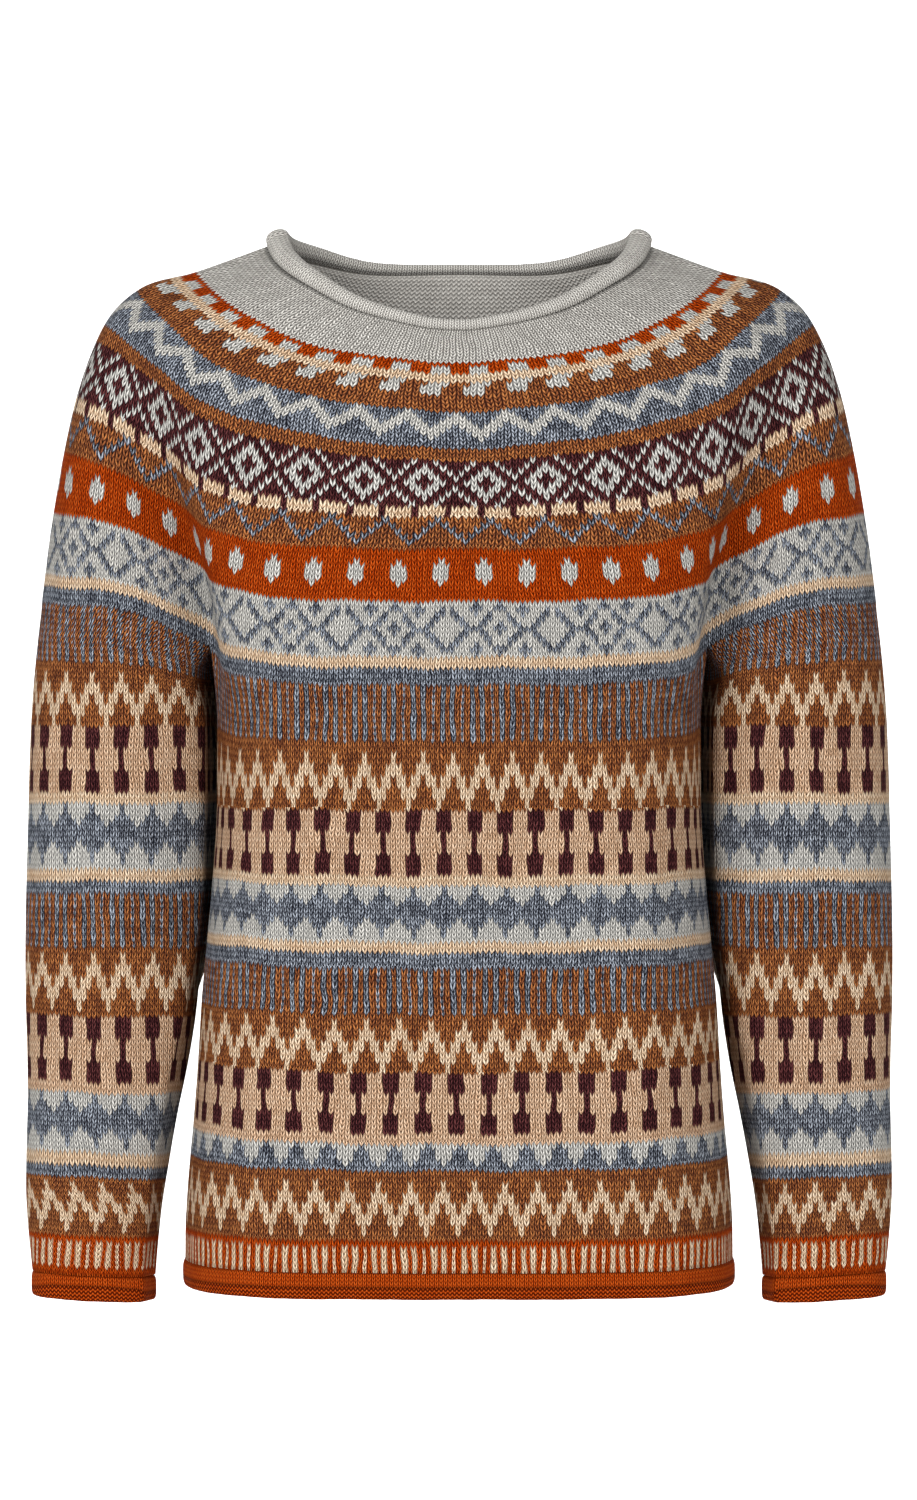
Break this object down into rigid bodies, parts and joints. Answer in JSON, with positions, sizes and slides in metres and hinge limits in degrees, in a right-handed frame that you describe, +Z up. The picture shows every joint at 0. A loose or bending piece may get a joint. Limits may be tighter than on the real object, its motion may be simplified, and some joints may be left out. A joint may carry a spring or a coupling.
{
  "type": "nordic sweater",
  "caption": "Round-yoke patterned knit jumper with long sleeves and rolled neck, hem and cuff edges, filled out as if worn, hollow and open.",
  "frame": {"origin": "between the two shoulders, level with the ends of the neckline seam, where a wearer's shoulders hold the garment", "axes": "+Z up, the front of the garment faces -Y, +X to the right as seen from the front"},
  "size_m": [0.5204, 0.2238, 0.6388],
  "materials": {
    "yoke_knit": "stranded wool knit in bands of ash, rust, brown, slate and burgundy",
    "body_knit": "stranded wool knit in bands of brown, camel, slate, cream and rust",
    "sleeve_knit": "stranded wool knit in bands of brown, camel, slate, cream and rust",
    "ash_yarn": "heather wool yarn, purl side out",
    "rust_yarn": "wool yarn, purl side out"
  },
  "bodies": {
    "root": {"yoke": "yoke_knit", "body_front": "body_knit", "body_back": "body_knit", "sleeve_right": "sleeve_knit", "sleeve_left": "sleeve_knit", "neck_roll": "ash_yarn", "hem_roll": "rust_yarn", "cuff_roll_right": "rust_yarn", "cuff_roll_left": "rust_yarn"}
  },
  "joints": []
}
